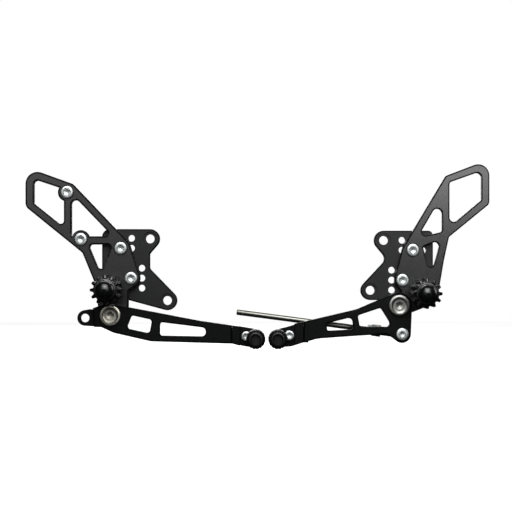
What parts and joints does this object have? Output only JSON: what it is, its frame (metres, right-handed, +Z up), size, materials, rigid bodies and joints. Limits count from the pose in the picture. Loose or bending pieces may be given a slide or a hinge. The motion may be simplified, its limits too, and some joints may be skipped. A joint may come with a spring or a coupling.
{
  "type": "motorbike rear sets",
  "caption": "Motorbike rear sets: brake and shift halves with bolt-on plates, heel guards, foot pegs, pivoting pedals and shift rod.",
  "frame": {"origin": "midpoint of the brake half's two frame bolts, on the face against the bike's frame", "axes": "+Z up as fitted, +Y inwards to the bike's frame, +X from the brake half to the shift half"},
  "size_m": [0.4735, 0.109, 0.1872],
  "materials": {
    "frame_plate_black": "satin black anodised",
    "plate_black": "satin black anodised",
    "lever_black": "satin black anodised",
    "peg_black": "gloss black anodised",
    "toe_peg_black": "satin black anodised",
    "zinc_steel": "bright zinc plated",
    "stainless": "polished stainless",
    "bronze": "sintered bronze",
    "rod_end_steel": "zinc plated",
    "rod_steel": "bright drawn"
  },
  "bodies": {
    "root": {"brake_frame_plate": "frame_plate_black", "brake_side_plate": "plate_black", "brake_position_bolts": "zinc_steel", "brake_cylinder_bolts": "zinc_steel", "brake_foot_peg": "peg_black", "brake_foot_peg_screw": "zinc_steel", "brake_pivot_bolt": "stainless", "brake_pivot_washer": "stainless", "shift_frame_plate": "frame_plate_black", "shift_side_plate": "plate_black", "shift_position_bolts": "zinc_steel", "shift_foot_peg": "peg_black", "shift_foot_peg_screw": "zinc_steel", "shift_pivot_bolt": "stainless", "shift_pivot_washer": "stainless"},
    "brake_lever": {"brake_lever": "lever_black", "brake_pivot_bush": "bronze", "brake_toe_piece": "lever_black", "brake_toe_piece_bolt": "zinc_steel", "brake_toe_peg": "toe_peg_black", "brake_toe_peg_screw": "zinc_steel"},
    "shift_lever": {"shift_lever": "lever_black", "shift_pivot_bush": "bronze", "shift_toe_piece": "lever_black", "shift_toe_piece_bolt": "zinc_steel", "shift_toe_peg": "toe_peg_black", "shift_toe_peg_screw": "zinc_steel", "shift_rod_end_bolt": "zinc_steel", "shift_rod_end_nut": "zinc_steel", "shift_rod_end_spacer": "zinc_steel", "shift_rod_end_ball": "stainless"},
    "shift_rod": {"shift_rod_end_body": "rod_end_steel", "shift_rod_nut": "zinc_steel", "shift_rod": "rod_steel"}
  },
  "joints": [
    {"name": "brake_pedal", "type": "hinge", "parent": "root", "child": "brake_lever", "pos_m": [-0.0483, -0.0271, -0.0464], "axis": [0, 1, 0], "range_deg": [0, 12]},
    {"name": "shift_pedal", "type": "hinge", "parent": "root", "child": "shift_lever", "pos_m": [0.245, -0.0271, -0.0361], "axis": [0, 1, 0], "range_deg": [-8, 8]},
    {"name": "rod_swivel", "type": "hinge", "parent": "shift_lever", "child": "shift_rod", "pos_m": [0.2479, -0.0136, -0.0653], "axis": [0, 1, 0], "range_deg": [-12, 12]}
  ]
}
